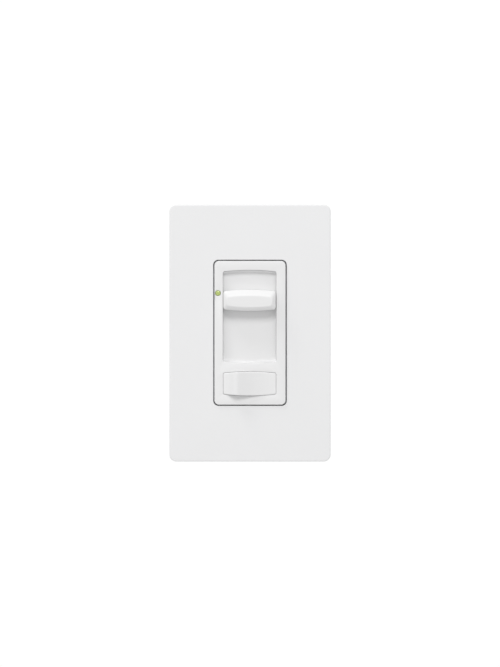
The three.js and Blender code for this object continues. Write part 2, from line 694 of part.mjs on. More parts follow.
function triac() {
  const { x, half_width, tab_top, body_top, body_bottom, screw_z } = TRIAC;
  const { front, tab_back, body_back, hole } = TRIAC_DEPTH;
  const { pitch, half_width: half_lead, front: lead_front, thick, drop } = TRIAC_LEAD;
  const tab = block(x - half_width, x + half_width, front, tab_back, body_bottom + 1, tab_top);
  const body = block(x - half_width, x + half_width, front, body_back, body_bottom, body_top);
  const foot = body_bottom - drop;
  const leads = [];
  for (const i of [-1, 0, 1]) {
    const [x0, x1] = [x + i * pitch - half_lead, x + i * pitch + half_lead];
    leads.push(block(x0, x1, lead_front, lead_front + thick, foot, body_bottom + 0.5));
    leads.push(block(x0, x1, lead_front, BOARD.front - GAP, foot, foot + thick));
  }
  return cut(join(tab, body, ...leads), rod_y(hole, front - 1, tab_back + 1, x, screw_z, 16));
}

function triac_insulator() {
  const { x, half_width, tab_top, body_bottom, screw_z } = TRIAC;
  const { front, back } = INSULATOR;
  const sheet = block(x - half_width, x + half_width, front, back, body_bottom, tab_top);
  return cut(sheet, rod_y(TRIAC_DEPTH.hole, front - 1, back + 1, x, screw_z, 16));
}

function triac_screw() {
  const { x, screw_z } = TRIAC;
  const { radius, head, seat, back } = TRIAC_SCREW;
  const profile = [
    [0, STRAP.front + 0.2],
    [radius, STRAP.front + 0.2],
    [radius, seat],
    [head, seat],
    [head, back - 0.6],
    [head * 0.65, back],
    [0, back],
  ];
  return turned(profile, x, screw_z, 16);
}

// Drum of ferrite with a flange at each end, and a ring of wire between them.
function choke_core() {
  const { z, y_front, height, flange, core, rim } = CHOKE;
  const y_back = y_front + height;
  const profile = [
    [0, y_front],
    [flange, y_front],
    [flange, y_front + rim],
    [core, y_front + rim],
    [core, y_back - rim],
    [flange, y_back - rim],
    [flange, y_back],
    [0, y_back],
  ];
  return turned(profile, 0, z, 32);
}

function choke_winding() {
  const { z, y_front, height, winding, core, rim } = CHOKE;
  return ring(core + GAP, winding, y_front + rim + GAP, y_front + height - rim - GAP, z, 32);
}

// Box standing on the back of the circuit board.
function on_board({ x0, x1, z0, z1, height }) {
  return block(x0, x1, BOARD_BACK, BOARD_BACK + height, z0, z1);
}

// Round body and its two wires, lying along Z on the back of the circuit board.
function axial_component({ x, z, radius, half_length, wire, wire_reach }) {
  const y = BOARD_BACK + radius + 0.2;
  const body = rod_z(radius, z - half_length, z + half_length, x, y, 14);
  return join(body, rod_z(wire, z - wire_reach, z + wire_reach, x, y, 8));
}

function indicator_led() {
  const { x, z, end } = LIGHT_PIPE;
  const { crown, radius, shoulder } = LED;
  const tip = end + GAP;
  const profile = [
    [0, tip],
    [crown, tip + 0.3],
    [radius, tip + shoulder],
    [radius, BOARD.front - GAP],
    [0, BOARD.front - GAP],
  ];
  return turned(profile, x, z, 16);
}

// ---- Assembly ----

const object = new THREE.Group();

function add(name, geometry, look) {
  const mesh = new THREE.Mesh(geometry, look);
  mesh.name = name;
  object.add(mesh);
  return mesh;
}

add("wallplate_cover", wallplate_cover(), gloss_white());
add("wallplate_adapter", wallplate_adapter(), satin_white());
add("bezel", bezel(), satin_white());
add("track_panel", track_panel(), satin_white());
add("light_pipe", light_pipe(), material(0xb9c57d, 0.2));

add("slider_knob", slider_knob(), satin_white());
add("slide_carriage", slide_carriage(), satin_white());
add("slide_pot_body", slide_pot_body(), zinc_steel());
add("slide_pot_wiper", slide_pot_wiper(), black_plastic());

const rocker_parts = [
  ["rocker_paddle", rocker_paddle(), satin_white()],
  ["rocker_plunger", rocker_plunger(), brass()],
  ["plunger_spring", plunger_spring(), zinc_steel()],
];
for (const [name, geometry, look] of rocker_parts) {
  const mesh = add(name, geometry, look);
  mesh.position.set(0, ROCKER_PIN.y, PADDLE.z);
  mesh.rotation.z = THREE.MathUtils.degToRad(PADDLE.tilt);
}
const { half_length } = ROCKER_PIN;
add(
  "rocker_pin",
  rod_z(ROCKER_PIN.radius, PADDLE.z - half_length, PADDLE.z + half_length, 0, ROCKER_PIN.y, 16),
  zinc_steel()
);

const seesaw = add("contact_seesaw", contact_seesaw(), brass());
seesaw.position.set(0, SEESAW.y, PADDLE.z);
seesaw.rotation.z = THREE.MathUtils.degToRad(-SEESAW.tilt);
add("traveller_contact_left", fixed_contact(-FIXED_CONTACT.x), brass());
add("traveller_contact_right", fixed_contact(FIXED_CONTACT.x), brass());
add("common_contact", fulcrum_contact(), brass());
add("switch_frame", switch_frame(), black_plastic());

add("mounting_strap", mounting_strap(), aluminium());
for (const [name, end] of [["upper", 1], ["lower", -1]]) {
  const z_plate = (end * PLATE_SCREWS.spacing) / 2;
  const z_box = (end * BOX_SCREWS.spacing) / 2;
  add(`adapter_screw_${name}`, slotted_screw(0, z_plate, ADAPTER.front - GAP, PLATE_SCREWS), satin_white());
  add(`mounting_screw_${name}`, slotted_screw(0, z_box, STRAP.front - GAP, BOX_SCREWS), zinc_steel());
  add(`screw_washer_${name}`, screw_washer(z_box), material(0xc9b48a, 0.8));
}
add("ground_screw", ground_screw(), material(0x2f7a45, 0.4, 0.6));

add("rear_housing", rear_housing(), black_plastic());
for (const [row, sz] of [["upper", 1], ["lower", -1]]) {
  for (const [column, sx] of [["left", -1], ["right", 1]]) {
    const screw = housing_screw(sx * HOUSING_SCREWS.x, sz * HOUSING_SCREWS.z);
    add(`housing_screw_${row}_${column}`, screw, zinc_steel());
  }
}
for (const { name, side, z } of TERMINALS) {
  add(`terminal_plate_${name}`, terminal_plate(side, z), brass());
  add(`terminal_screw_${name}`, terminal_screw(side, z), brass());
}

add("circuit_board", circuit_board(), material(0x2f6b3c, 0.5));
add("triac", triac(), black_plastic());
add("triac_insulator", triac_insulator(), material(0x9fa9b0, 0.7));
add("triac_screw", triac_screw(), zinc_steel());
add("choke_core", choke_core(), material(0x3a3b3d, 0.6));
add("choke_winding", choke_winding(), material(0xb0642f, 0.35, 0.8));
add("suppression_capacitor", on_board(SUPPRESSION_CAPACITOR), material(0xc8a92a, 0.4));
add("timing_capacitor", on_board(TIMING_CAPACITOR), material(0x8f2f2a, 0.4));
add("timing_resistor", axial_component(RESISTOR), material(0xc2a87c, 0.5));
add("diac", axial_component(DIAC), material(0x3563a8, 0.3));
add("indicator_led", indicator_led(), material(0xa9c46a, 0.2));

export default object;
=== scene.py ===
import math

import bmesh
import bpy
from mathutils import Matrix, Vector

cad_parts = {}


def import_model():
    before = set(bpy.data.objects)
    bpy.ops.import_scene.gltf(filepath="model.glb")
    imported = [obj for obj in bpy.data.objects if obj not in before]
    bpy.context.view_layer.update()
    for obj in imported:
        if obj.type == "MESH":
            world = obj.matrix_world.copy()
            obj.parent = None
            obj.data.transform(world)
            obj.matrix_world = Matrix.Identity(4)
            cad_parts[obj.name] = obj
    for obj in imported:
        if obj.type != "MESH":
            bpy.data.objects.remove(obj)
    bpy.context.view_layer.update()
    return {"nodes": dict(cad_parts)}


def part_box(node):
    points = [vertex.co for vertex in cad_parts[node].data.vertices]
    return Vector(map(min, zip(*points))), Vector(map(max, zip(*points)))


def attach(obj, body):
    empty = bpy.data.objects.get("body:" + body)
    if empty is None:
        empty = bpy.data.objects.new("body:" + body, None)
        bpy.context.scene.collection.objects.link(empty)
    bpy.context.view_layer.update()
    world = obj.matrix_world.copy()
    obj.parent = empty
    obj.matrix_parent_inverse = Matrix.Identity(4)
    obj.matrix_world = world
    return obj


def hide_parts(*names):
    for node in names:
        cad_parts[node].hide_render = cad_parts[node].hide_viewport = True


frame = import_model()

# Slide dimmer with a left-right rocker, in a screwless one-gang plate, as Blender pieces on the CAD frame.
# Outlines lie in X and Z, and depths run along Y. Lengths are in millimetres until a mesh is made of them.

MM = 0.001

# ---- Sizes read from the frame ----


def box_mm(node):
    """Lowest and highest corner of a CAD node."""
    low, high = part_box(node)
    return Vector(low) / MM, Vector(high) / MM


def centre_mm(node):
    """Middle of a CAD node's box, as x, y and z."""
    low, high = box_mm(node)
    return [(a + b) / 2 for a, b in zip(low, high)]


COVER_LOW, COVER_HIGH = box_mm("wallplate_cover")
KNOB_LOW, KNOB_HIGH = box_mm("slider_knob")
PIPE_LOW, PIPE_HIGH = box_mm("light_pipe")
PIPE_RADIUS = (PIPE_HIGH.x - PIPE_LOW.x) / 2
INSERT_FRONT = box_mm("bezel")[0].y

# ---- Sizes that the frame's boxes don't hold ----

# Height of the insert and its window above the origin.
INSERT_Z = 0.115
# The foot is the flat on the cover's back edge. The first ring on a flat face lies `flat` past the rounding.
COVER = {
    "corner": 3.2, "least_corner": 0.6,
    "rim": 0.5, "inner_rim": 0.5,
    "wall": 2.0, "foot": 0.4, "flat": 1.0,
}
WINDOW = {"width": 34.1, "height": 67.74, "corner": 2.4, "rim": 0.2}
BEZEL = {"width": 32.92, "height": 66.6, "corner": 2.1, "rim": 0.22, "back": -1.9}

# Radius of the bowed upper and lower edges.
BOW_RADIUS = 105.0

RECESS = {"x": -0.15, "half_width": 12.4, "top": 29.2, "bottom": -14.0, "floor": -5.4, "corner": 0.8}
# The floor's two ends sweep up over a run of `ramp`, with `bend` of it curved.
# Its right side is tucked under the rebate.
PANEL = {"margin": 0.04, "corner": 0.3, "ramp": 0.95, "bend": 0.35, "thickness": 1.0, "tuck": 0.2}
PANEL_ROWS = (0.03, 0.25, 0.5, 0.75, 0.97)
RAMP_DEGREES = range(0, 91, 9)
REBATE = {"depth": 0.28, "front": -5.43, "low": -12.4, "high": 27.5}
LOW_LIP = {"y": -8.2, "clear": 0.02}
HIGH_LIP = {"y": -8.05, "clear": 0.1}

KNOB = {"x": -0.22, "half_width": 12.13, "corner": 1.1, "slope": 1.5, "edge": 0.6, "floor_gap": 0.3}
# The face's own corners and bow. The profile runs on to `reach` times the chamfer, across the face.
KNOB_FACE = {"corner": 1.6, "bow": 75.0, "reach": 1.25}
KNOB_CHAMFER = {"upper": 2.6, "lower": 1.6, "side": 1.58}
ARM = {"inner": 12.75, "outer": 13.35, "half_height": 3.0, "front": -6.5, "tab_back": -5.7, "back": -2.6}
GROOVE = {"half_height": 3.6, "front": -6.7, "outer": 13.45}
TRAVEL = {"up": 7.5, "down": 22.2}

PADDLE = {"x": -0.15, "half_width": 12.37, "bottom": -5.65, "top": 5.54, "corner": 0.6, "columns": 40}
# Degrees to its resting side, depth of its back from the pin, and rounding of the face's edges.
PADDLE_TILT = 6.4
PADDLE_BACK = 1.1
PADDLE_EDGE = 0.65
# Depths behind the face of the rings along the sides, and (inset, depth) corners of the rounded edge.
PADDLE_SIDE_ROWS = (3.0, 2.4, 1.8)
PADDLE_EDGE_CORNERS = [(0, 1.2), (0, 0), (1.0, 0)]
# The ridge falls off on its left like a bell curve and on its right as a power of the distance.
RIDGE = {"x": -6.9, "rise": 3.5, "left": 3.0, "right": 17.8, "power": 2.0, "crest": 1.2}
PADDLE_HOLE = {"bottom": -5.76, "top": 5.65, "half_width": 12.32, "corner": 0.7}
# Relief behind the insert's face, in which the paddle's ends turn.
UNDERCUT = {"front": -7.8, "clear": 0.08, "half_height": 4.9}
POST = {"half_width": 2.6, "half_height": 3.0, "back": 8.0, "bore": 1.3}

# A high power of a point's place across keeps an effect to the ends.
END_POWER = 8

PIPE = {"dome": 0.45, "shoulder": -7.7, "shoulder_edge": 0.1, "stem": 0.7, "stem_edge": 0.15, "clear": 0.1}
DOME_DEGREES = range(10, 91, 10)
PIPE_SIDES = 36
PIPE_HOLE_SIDES = 32

# The last turns taper by a share of the radius over a run of `fade` pitches.
THREAD = {"radius": 1.7, "pitch": 0.79, "depth": 0.32, "sides": 28, "per_turn": 8, "fade": 1.2, "taper": 0.3}
PLATE_SCREW_HEAD = 1.3
BOX_SCREW_HEAD = 2.2
# Outline of a pan head as (share of the radius, share of the depth), from its rim to its middle.
PAN_HEAD = [(1.0, 0.98), (1.0, 0.5), (0.93, 0.22), (0.78, 0.07), (0.5, 0.0), (0.2, 0.0)]
PAN_HEAD_SIDES = 48
PAN_HEAD_SLOT = {"half": 0.45, "share": 0.5}
# Turned screws: radius of the ends' middle face, where the head's side ends, width of its top, and rounding.
TURNED = {"core": 0.2, "head_side": 0.45, "top": 0.7, "round": 0.25, "sides": 56}
TURNED_SLOT = {"half": 0.4, "share": 0.5}
CASE_SCREW = {"shank": 1.3, "head_depth": 1.6}
WIRE_SCREW = {"shank": 1.8, "head_depth": 2.0}

# The winding's turns are `spacing` wire radii apart.
WINDING = {"wire": 0.42, "spacing": 2.1, "per_turn": 24}

# How far a cutting tool reaches past what it cuts, and how far a tab reaches into the knob.
OVERCUT = 1.0
# Shells in one mesh stay this far apart so that they aren't welded, or overlap this far.
ARM_SEAM = 0.005
POST_SEAM = 0.01
POST_OVERLAP = 0.05
# Points closer than these are welded: in lofted pieces, in the insert and in the CAD nodes that stay.
WELD = {"loft": 0.002, "insert": 0.003, "carried": 0.001}

# ---- Materials ----

# Noise textures, as (scale, detail).
CLOUD = (60, 2)
GLOSS = (700, 3)
SKIN = (4200, 2)
SINK = (45, 1)
BRUSHED_LINES = (900, 4, 0.6)
CLEAR_CLOUD = (900, 2)
FLOOR_CLOUD = (8, 2)
# Most of a noise texture's values lie between these two.
NOISE_RANGE = (0.3, 0.7)
# Least and most roughness, as shares of the roughness asked for.
PLASTIC_GLOSS = (0.93, 1.07)
METAL_GLOSS = (0.8, 1.25)
PLASTIC_IOR = 1.5
CLEAR_TONES = ((0.55, 0.64, 0.225), (0.47, 0.57, 0.18))
CLEAR_ROUGHNESS = (0.1, 0.2)
CLEAR_SCATTER = {"weight": 0.3, "radius": (0.4 * MM, 0.5 * MM, 0.15 * MM)}


def new_material(name):
    """An empty node material with its Principled shader."""
    look = bpy.data.materials.new(name)
    look.use_nodes = True
    return look, look.node_tree.nodes, look.node_tree.links, look.node_tree.nodes["Principled BSDF"]


def object_coordinates(nodes, links, scale=(1, 1, 1)):
    """Object coordinates in metres, scaled along each axis."""
    source = nodes.new("ShaderNodeTexCoord")
    mapping = nodes.new("ShaderNodeMapping")
    mapping.inputs["Scale"].default_value = scale
    links.new(source.outputs["Object"], mapping.inputs["Vector"])
    return mapping.outputs["Vector"]


def noise(nodes, links, vector, scale, detail, roughness=0.5):
    texture = nodes.new("ShaderNodeTexNoise")
    texture.inputs["Scale"].default_value = scale
    texture.inputs["Detail"].default_value = detail
    texture.inputs["Roughness"].default_value = roughness
    links.new(vector, texture.inputs["Vector"])
    return texture.outputs["Fac"]


def remap(nodes, links, value, low, high):
    """A noise value spread between two numbers."""
    node = nodes.new("ShaderNodeMapRange")
    node.inputs["From Min"].default_value = NOISE_RANGE[0]
    node.inputs["From Max"].default_value = NOISE_RANGE[1]
    node.inputs["To Min"].default_value = low
    node.inputs["To Max"].default_value = high
    links.new(value, node.inputs["Value"])
    return node.outputs["Result"]


def two_tone(nodes, links, value, first, second):
    """Colour that drifts between two tones."""
    ramp = nodes.new("ShaderNodeValToRGB")
    for element, position, tone in zip(ramp.color_ramp.elements, NOISE_RANGE, (first, second)):
        element.position = position
        element.color = (*tone, 1)
    links.new(value, ramp.inputs["Fac"])
    return ramp.outputs["Color"]


def bump(nodes, links, height, distance, below=None):
    """Normal of a surface raised by up to a distance in millimetres, over another normal if one is given."""
    node = nodes.new("ShaderNodeBump")
    node.inputs["Distance"].default_value = distance * MM
    node.inputs["Strength"].default_value = 1.0
    links.new(height, node.inputs["Height"])
    if below is not None:
        links.new(below, node.inputs["Normal"])
    return node.outputs["Normal"]


def moulded_plastic(name, tone, drift, roughness, grain, sink=0.0):
    """Moulded plastic: faint colour drift, a fine skin grain, uneven gloss and, if asked, slow sink marks."""
    look, nodes, links, shader = new_material(name)
    vector = object_coordinates(nodes, links)
    cloud = noise(nodes, links, vector, *CLOUD)
    other = tuple(c * drift for c in tone)
    links.new(two_tone(nodes, links, cloud, tone, other), shader.inputs["Base Color"])
    gloss = noise(nodes, links, vector, *GLOSS)
    uneven = remap(nodes, links, gloss, *(roughness * share for share in PLASTIC_GLOSS))
    links.new(uneven, shader.inputs["Roughness"])
    skin = noise(nodes, links, vector, *SKIN)
    normal = bump(nodes, links, skin, grain)
    if sink:
        slow = noise(nodes, links, vector, *SINK)
        normal = bump(nodes, links, slow, sink, normal)
    links.new(normal, shader.inputs["Normal"])
    shader.inputs["IOR"].default_value = PLASTIC_IOR
    return look


def brushed_metal(name, tone, drift, roughness, grain, scale=(1, 1, 1), metallic=1.0):
    """Sheet or turned metal, with fine lines drawn out along the axis that has the smallest scale."""
    look, nodes, links, shader = new_material(name)
    vector = object_coordinates(nodes, links, scale)
    lines = noise(nodes, links, vector, *BRUSHED_LINES)
    other = tuple(c * drift for c in tone)
    links.new(two_tone(nodes, links, lines, tone, other), shader.inputs["Base Color"])
    uneven = remap(nodes, links, lines, *(roughness * share for share in METAL_GLOSS))
    links.new(uneven, shader.inputs["Roughness"])
    links.new(bump(nodes, links, lines, grain), shader.inputs["Normal"])
    shader.inputs["Metallic"].default_value = metallic
    return look


def clear_green(name):
    """Tinted acrylic of the light pipe, which scatters a little light inside."""
    look, nodes, links, shader = new_material(name)
    vector = object_coordinates(nodes, links)
    cloud = noise(nodes, links, vector, *CLEAR_CLOUD)
    links.new(two_tone(nodes, links, cloud, *CLEAR_TONES), shader.inputs["Base Color"])
    links.new(remap(nodes, links, cloud, *CLEAR_ROUGHNESS), shader.inputs["Roughness"])
    shader.inputs["Subsurface Weight"].default_value = CLEAR_SCATTER["weight"]
    shader.inputs["Subsurface Radius"].default_value = CLEAR_SCATTER["radius"]
    return look


# Name, tone, drift of the tone, roughness, depth of the grain, and depth of the sink marks.
PLATE_WHITE = moulded_plastic("plate_white", (0.857, 0.857, 0.862), 0.992, 0.4, 0.0012, 0.004)
INSERT_WHITE = moulded_plastic("insert_white", (0.842, 0.841, 0.843), 0.99, 0.42, 0.0015)
BLACK = moulded_plastic("black_thermoset", (0.022, 0.022, 0.025), 0.7, 0.5, 0.01)
BOARD = moulded_plastic("solder_mask", (0.03, 0.13, 0.05), 0.8, 0.35, 0.008)
FIBRE = moulded_plastic("fibre", (0.42, 0.3, 0.16), 0.75, 0.8, 0.02)
THERMAL_PAD = moulded_plastic("thermal_pad", (0.3, 0.34, 0.37), 0.85, 0.7, 0.01)
FERRITE = moulded_plastic("ferrite", (0.03, 0.03, 0.034), 0.6, 0.6, 0.02)
FILM_YELLOW = moulded_plastic("film_yellow", (0.55, 0.4, 0.03), 0.9, 0.3, 0.006)
DIPPED_RED = moulded_plastic("dipped_red", (0.3, 0.04, 0.025), 0.8, 0.2, 0.02)
LACQUER_TAN = moulded_plastic("lacquer_tan", (0.5, 0.34, 0.18), 0.9, 0.3, 0.008)
BLUE_GLASS = moulded_plastic("blue_glass", (0.05, 0.14, 0.4), 0.85, 0.12, 0.002)
CLEAR_GREEN = clear_green("light_pipe_green")
# Name, tone, drift of the tone, roughness, depth of the lines, and scale along each axis.
ALUMINIUM = brushed_metal("stamped_aluminium", (0.72, 0.73, 0.75), 0.93, 0.34, 0.004, (1, 1, 0.04))
ZINC = brushed_metal("zinc_steel", (0.62, 0.62, 0.6), 0.86, 0.3, 0.004)
BRASS = brushed_metal("brass", (0.74, 0.53, 0.2), 0.86, 0.3, 0.004, (1, 0.1, 1))
COPPER = brushed_metal("enamelled_copper", (0.66, 0.25, 0.09), 0.8, 0.25, 0.004, (1, 0.1, 1))
GREEN_STEEL = brushed_metal("green_steel", (0.05, 0.27, 0.1), 0.8, 0.35, 0.004, metallic=0.7)

# ---- Outlines and lofts ----


def rounded_outline(width, height, radius, arc=10, side=6):
    """Rounded rectangle round the origin, as (x, z) points, anticlockwise seen from the front."""
    points = []
    corners = [(1, 1, 0), (-1, 1, 90), (-1, -1, 180), (1, -1, 270)]
    for index, (sx, sz, start) in enumerate(corners):
        cx = sx * (width / 2 - radius)
        cz = sz * (height / 2 - radius)
        for step in range(arc + 1):
            angle = math.radians(start + 90 * step / arc)
            points.append(Vector((cx + radius * math.cos(angle), cz + radius * math.sin(angle))))
        next_sx, next_sz, next_start = corners[(index + 1) % 4]
        angle = math.radians(next_start)
        target = Vector((
            next_sx * (width / 2 - radius) + radius * math.cos(angle),
            next_sz * (height / 2 - radius) + radius * math.sin(angle),
        ))
        last = points[-1].copy()
        points.extend(last.lerp(target, step / side) for step in range(1, side))
    return points


def bowed_outline(half_width, bottom, top, corner, columns=24, arc=6, bow=BOW_RADIUS):
    """Rectangle with bowed ends and rounded corners. The second half mirrors the first, column by column."""
    flat = half_width - corner
    xs = [flat * (2 * step / columns - 1) for step in range(columns + 1)]
    turn = [flat + corner * math.sin(math.radians(90 * step / arc)) for step in range(1, arc + 1)]
    xs = [-x for x in reversed(turn)] + xs + turn

    def inward(x):
        rise = min(abs(x), flat) ** 2 / (2 * bow)
        over = max(abs(x) - flat, 0)
        return rise + corner - math.sqrt(max(corner * corner - over * over, 0))

    low = [Vector((x, bottom + inward(x))) for x in xs]
    high = [Vector((x, top - inward(x))) for x in reversed(xs)]
    return low + high


def circle(x, z, radius, sides):
    """Round outline, as (x, z) points."""
    angles = [2 * math.pi * step / sides for step in range(sides)]
    return [Vector((x + radius * math.cos(angle), z + radius * math.sin(angle))) for angle in angles]


def moved(outline, x=0.0, z=0.0):
    return [point + Vector((x, z)) for point in outline]


def at_depth(outline, y):
    return [Vector((point.x, y, point.y)) for point in outline]


def rounded_profile(corners, radius, steps=4):
    """Polyline of (a, b) corners with each inner corner rounded."""
    points = [Vector(corners[0])]
    for before, here, after in zip(corners, corners[1:], corners[2:]):
        before, here, after = Vector(before), Vector(here), Vector(after)
        reach_in = min(radius, (before - here).length / 2)
        reach_out = min(radius, (after - here).length / 2)
        start = here + (before - here).normalized() * reach_in
        end = here + (after - here).normalized() * reach_out
        for step in range(steps + 1):
            t = step / steps
            points.append(start.lerp(here, t).lerp(here.lerp(end, t), t))
    points.append(Vector(corners[-1]))
    return points


def loft(rings, closed=False):
    """Quads between rings of equal length. Closed also joins the last ring to the first."""
    count = len(rings[0])
    points = [point for ring in rings for point in ring]
    faces = []
    last = len(rings) if closed else len(rings) - 1
    for level in range(last):
        a = level * count
        b = ((level + 1) % len(rings)) * count
        for i in range(count):
            j = (i + 1) % count
            faces.append((a + i, a + j, b + j, b + i))
    return points, faces


def strip_cap(start, count):
    """Quads across a ring that starts at point `start`, whose second half runs back along its first."""
    half = count // 2
    return [
        (start + i, start + i + 1, start + count - 2 - i, start + count - 1 - i)
        for i in range(half - 1)
    ]


def round_cap(start, count):
    """One face across a round ring."""
    return [tuple(range(start, start + count))]


def solid_loft(rings, cap):
    """Loft whose two ends are closed by a kind of cap."""
    points, faces = loft(rings)
    count = len(rings[0])
    faces += cap(0, count)
    faces += cap(len(points) - count, count)
    return points, faces


def cuboid(x0, x1, y0, y1, z0, z1):
    """Corners and faces of a box, to be joined into a bigger mesh or used as a cutting tool."""
    points = [Vector((x, y, z)) for x in (x0, x1) for y in (y0, y1) for z in (z0, z1)]
    faces = [(0, 1, 3, 2), (4, 6, 7, 5), (0, 4, 5, 1), (2, 3, 7, 6), (0, 2, 6, 4), (1, 5, 7, 3)]
    return points, faces


def joined(*parts):
    """Several (points, faces) meshes as one."""
    points, faces = [], []
    for more_points, more_faces in parts:
        shift = len(points)
        points.extend(more_points)
        faces.extend(tuple(i + shift for i in face) for face in more_faces)
    return points, faces


# ---- Objects ----


def new_object(name, data):
    thing = bpy.data.objects.new(name, data)
    bpy.context.scene.collection.objects.link(thing)
    return thing


def mesh_of(thing):
    """Mesh of an object with its modifiers or curve settings applied."""
    graph = bpy.context.evaluated_depsgraph_get()
    return bpy.data.meshes.new_from_object(thing.evaluated_get(graph))


def mesh_of_curve(name, curve):
    """Mesh of a curve, made through an object that is taken away again."""
    holder = new_object(name, curve)
    mesh = mesh_of(holder)
    bpy.data.objects.remove(holder)
    return mesh


def put_right(mesh, weld=0.0):
    """Welds points that are closer than a distance, if one is given, and turns all faces outwards."""
    built = bmesh.new()
    built.from_mesh(mesh)
    if weld:
        bmesh.ops.remove_doubles(built, verts=built.verts, dist=weld * MM)
    bmesh.ops.recalc_face_normals(built, faces=built.faces)
    built.to_mesh(mesh)
    built.free()


def new_mesh(name, points, faces, weld=0.0):
    """A mesh in metres from points in millimetres."""
    mesh = bpy.data.meshes.new(name)
    mesh.from_pydata([tuple(Vector(point) * MM) for point in points], [], faces)
    put_right(mesh, weld)
    return mesh


def settle(piece, look, body, nodes, angle):
    """Material, body and replaced nodes of a finished piece. It is smooth up to an angle between faces."""
    mesh = piece.data
    mesh.materials.clear()
    mesh.materials.append(look)
    mesh.polygons.foreach_set("use_smooth", [True] * len(mesh.polygons))
    mesh.set_sharp_from_angle(angle=math.radians(angle))
    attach(piece, body)
    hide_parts(*nodes)


def make_piece(name, shape, look, nodes, body="root", angle=50, turn=None):
    """A piece from (points, faces), riding on a body and standing for CAD nodes."""
    mesh = new_mesh(name, *shape, WELD["loft"])
    if turn is not None:
        mesh.transform(turn)
    settle(new_object(name, mesh), look, body, nodes, angle)


def cut_with(piece, tools):
    """Takes closed (points, faces) tools out of a piece and keeps the result."""
    for points, faces in tools:
        tool = new_object("tool", new_mesh("tool", points, faces))
        boolean = piece.modifiers.new("cut", "BOOLEAN")
        boolean.operation = "DIFFERENCE"
        boolean.solver = "EXACT"
        boolean.object = tool
        result = mesh_of(piece)
        piece.modifiers.clear()
        piece.data = result
        bpy.data.objects.remove(tool)


# ---- Front pieces ----


def cover():
    """Wall plate cover: rounded rim, flat face, a framed window and a hollow back."""
    width = COVER_HIGH.x - COVER_LOW.x
    height = COVER_HIGH.z - COVER_LOW.z
    face, back = COVER_LOW.y, COVER_HIGH.y
    wall, rim, foot, flat = COVER["wall"], COVER["rim"], COVER["foot"], COVER["flat"]

    def plate_ring(inset, y):
        corner = max(COVER["corner"] - inset, COVER["least_corner"])
        return at_depth(rounded_outline(width - 2 * inset, height - 2 * inset, corner), y)

    def window_ring(grow, y):
        wide, tall = WINDOW["width"] + 2 * grow, WINDOW["height"] + 2 * grow
        return at_depth(moved(rounded_outline(wide, tall, WINDOW["corner"] + grow), z=INSERT_Z), y)

    edge = WINDOW["rim"]
    outside = [(foot, back), (0, back), (0, face), (rim + flat, face)]
    window = [(2 * edge, face), (0, face), (0, face + wall), (2 * edge, face + wall)]
    inside = [(wall + flat, face + wall), (wall, face + wall), (wall, back), (foot, back)]
    # The first two points of the outside lie on the foot, which the closing faces make.
    rings = [plate_ring(*place) for place in rounded_profile(outside, rim, steps=8)[2:]]
    rings += [window_ring(*place) for place in rounded_profile(window, edge)]
    rings += [plate_ring(*place) for place in rounded_profile(inside, COVER["inner_rim"], steps=3)]
    make_piece("cover_plate", loft(rings, closed=True), PLATE_WHITE, ["wallplate_cover"], angle=60)


def plate_with_holes(name, outlines, front, back, rim):
    """Plate between two depths with holes, all its edges rounded. The first outline is the outer one."""
    curve = bpy.data.curves.new(name, "CURVE")
    curve.dimensions = "2D"
    curve.fill_mode = "BOTH"
    for outline in outlines:
        spline = curve.splines.new("POLY")
        spline.points.add(len(outline) - 1)
        for point, target in zip(spline.points, outline):
            point.co = (target.x * MM, target.y * MM, 0, 1)
        spline.use_cyclic_u = True
    curve.extrude = ((back - front) / 2 - rim) * MM
    curve.bevel_depth = rim * MM
    curve.bevel_resolution = 3
    curve.offset = -rim * MM
    mesh = mesh_of_curve(name, curve)
    middle = (front + back) / 2 * MM
    mesh.transform(Matrix.Translation((0, middle, 0)) @ Matrix.Rotation(math.pi / 2, 4, "X"))
    put_right(mesh, WELD["insert"])
    return new_object(name, mesh)


def bezel():
    """Insert frame with the slider recess, the rocker opening and the indicator hole."""
    front, back = INSERT_FRONT, BEZEL["back"]
    outer = moved(rounded_outline(BEZEL["width"], BEZEL["height"], BEZEL["corner"]), z=INSERT_Z)
    recess = bowed_outline(RECESS["half_width"], RECESS["bottom"], RECESS["top"], RECESS["corner"])
    recess = moved(recess, RECESS["x"])
    pin_z = centre_mm("rocker_pin")[2]
    bottom, top = pin_z + PADDLE_HOLE["bottom"], pin_z + PADDLE_HOLE["top"]
    opening = bowed_outline(PADDLE_HOLE["half_width"], bottom, top, PADDLE_HOLE["corner"])
    opening = moved(opening, PADDLE["x"])
    pipe_x, _, pipe_z = centre_mm("light_pipe")
    hole = circle(pipe_x, pipe_z, PIPE_RADIUS + PIPE["clear"], PIPE_HOLE_SIDES)
    piece = plate_with_holes("bezel_frame", [outer, recess, opening, hole], front, back, BEZEL["rim"])

    past = back + OVERCUT
    knob_z = centre_mm("slider_knob")[2]
    low = knob_z - TRAVEL["down"] - GROOVE["half_height"]
    high = knob_z + TRAVEL["up"] + GROOVE["half_height"]
    wall = RECESS["x"] + RECESS["half_width"]
    rebate = (wall - OVERCUT, wall + REBATE["depth"])
    tools = [cuboid(*rebate, REBATE["front"], past, REBATE["low"], REBATE["high"])]
    tall = UNDERCUT["half_height"]
    for side in (-1, 1):
        groove = sorted((side * (RECESS["half_width"] - OVERCUT), side * GROOVE["outer"]))
        tools.append(cuboid(*groove, GROOVE["front"], past, low, high))
        end = PADDLE["half_width"] + side * PADDLE["x"]
        undercut = sorted((side * (end - OVERCUT), side * (end + UNDERCUT["clear"])))
        tools.append(cuboid(*undercut, UNDERCUT["front"], past, pin_z - tall, pin_z + tall))
    cut_with(piece, tools)
    settle(piece, INSERT_WHITE, "root", ["bezel"], 30)


